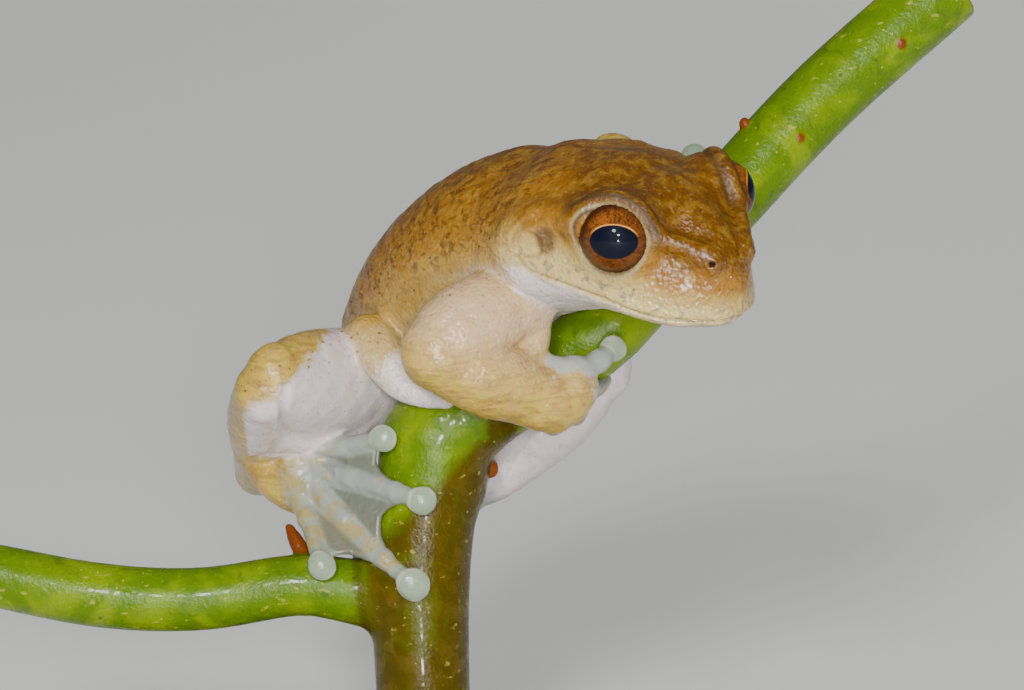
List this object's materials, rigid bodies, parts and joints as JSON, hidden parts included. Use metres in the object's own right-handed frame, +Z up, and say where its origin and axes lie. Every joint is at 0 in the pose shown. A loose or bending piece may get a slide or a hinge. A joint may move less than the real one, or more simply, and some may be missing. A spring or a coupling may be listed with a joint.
{
  "type": "tree frog model",
  "caption": "Life-size still model of a stream tree frog that grips a forked green stem, held up by a rod on a plain round base.",
  "frame": {"origin": "centre of the stand base's flat underside, under the rod", "axes": "+Z up; +X to the right and +Y away from the viewer in the picture's view, so the frog's snout points to +X and a little to -Y"},
  "size_m": [0.0666, 0.0519, 0.0615],
  "materials": {
    "skin_back": "moist satin skin, golden brown with darker mottling and fine specks",
    "skin_limbs": "moist skin, pinkish tan to golden along the upper edges",
    "skin_feet": "thin moist skin, pale grey-blue with greenish discs",
    "eye": "clear wet dome over a copper iris and a wide black pupil",
    "stem": "smooth waxy plant skin, yellow-green, orange-brown low down",
    "stand_base": "dark satin",
    "stand_rod": "brushed"
  },
  "bodies": {
    "root": {"stand_base": "stand_base", "stand_rod": "stand_rod", "perch_stem": "stem", "perch_upper": "stem", "perch_branch": "stem", "eye_left": "eye", "eye_right": "eye", "head": "skin_back", "torso": "skin_back", "upper_arm_right": "skin_limbs", "forearm_right": "skin_limbs", "hand_right": "skin_feet", "upper_arm_left": "skin_limbs", "forearm_left": "skin_limbs", "hand_left": "skin_feet", "thigh_right": "skin_limbs", "shank_right": "skin_limbs", "ankle_right": "skin_limbs", "foot_right": "skin_feet", "thigh_left": "skin_limbs", "shank_left": "skin_limbs", "ankle_left": "skin_limbs", "foot_left": "skin_feet"}
  },
  "joints": []
}
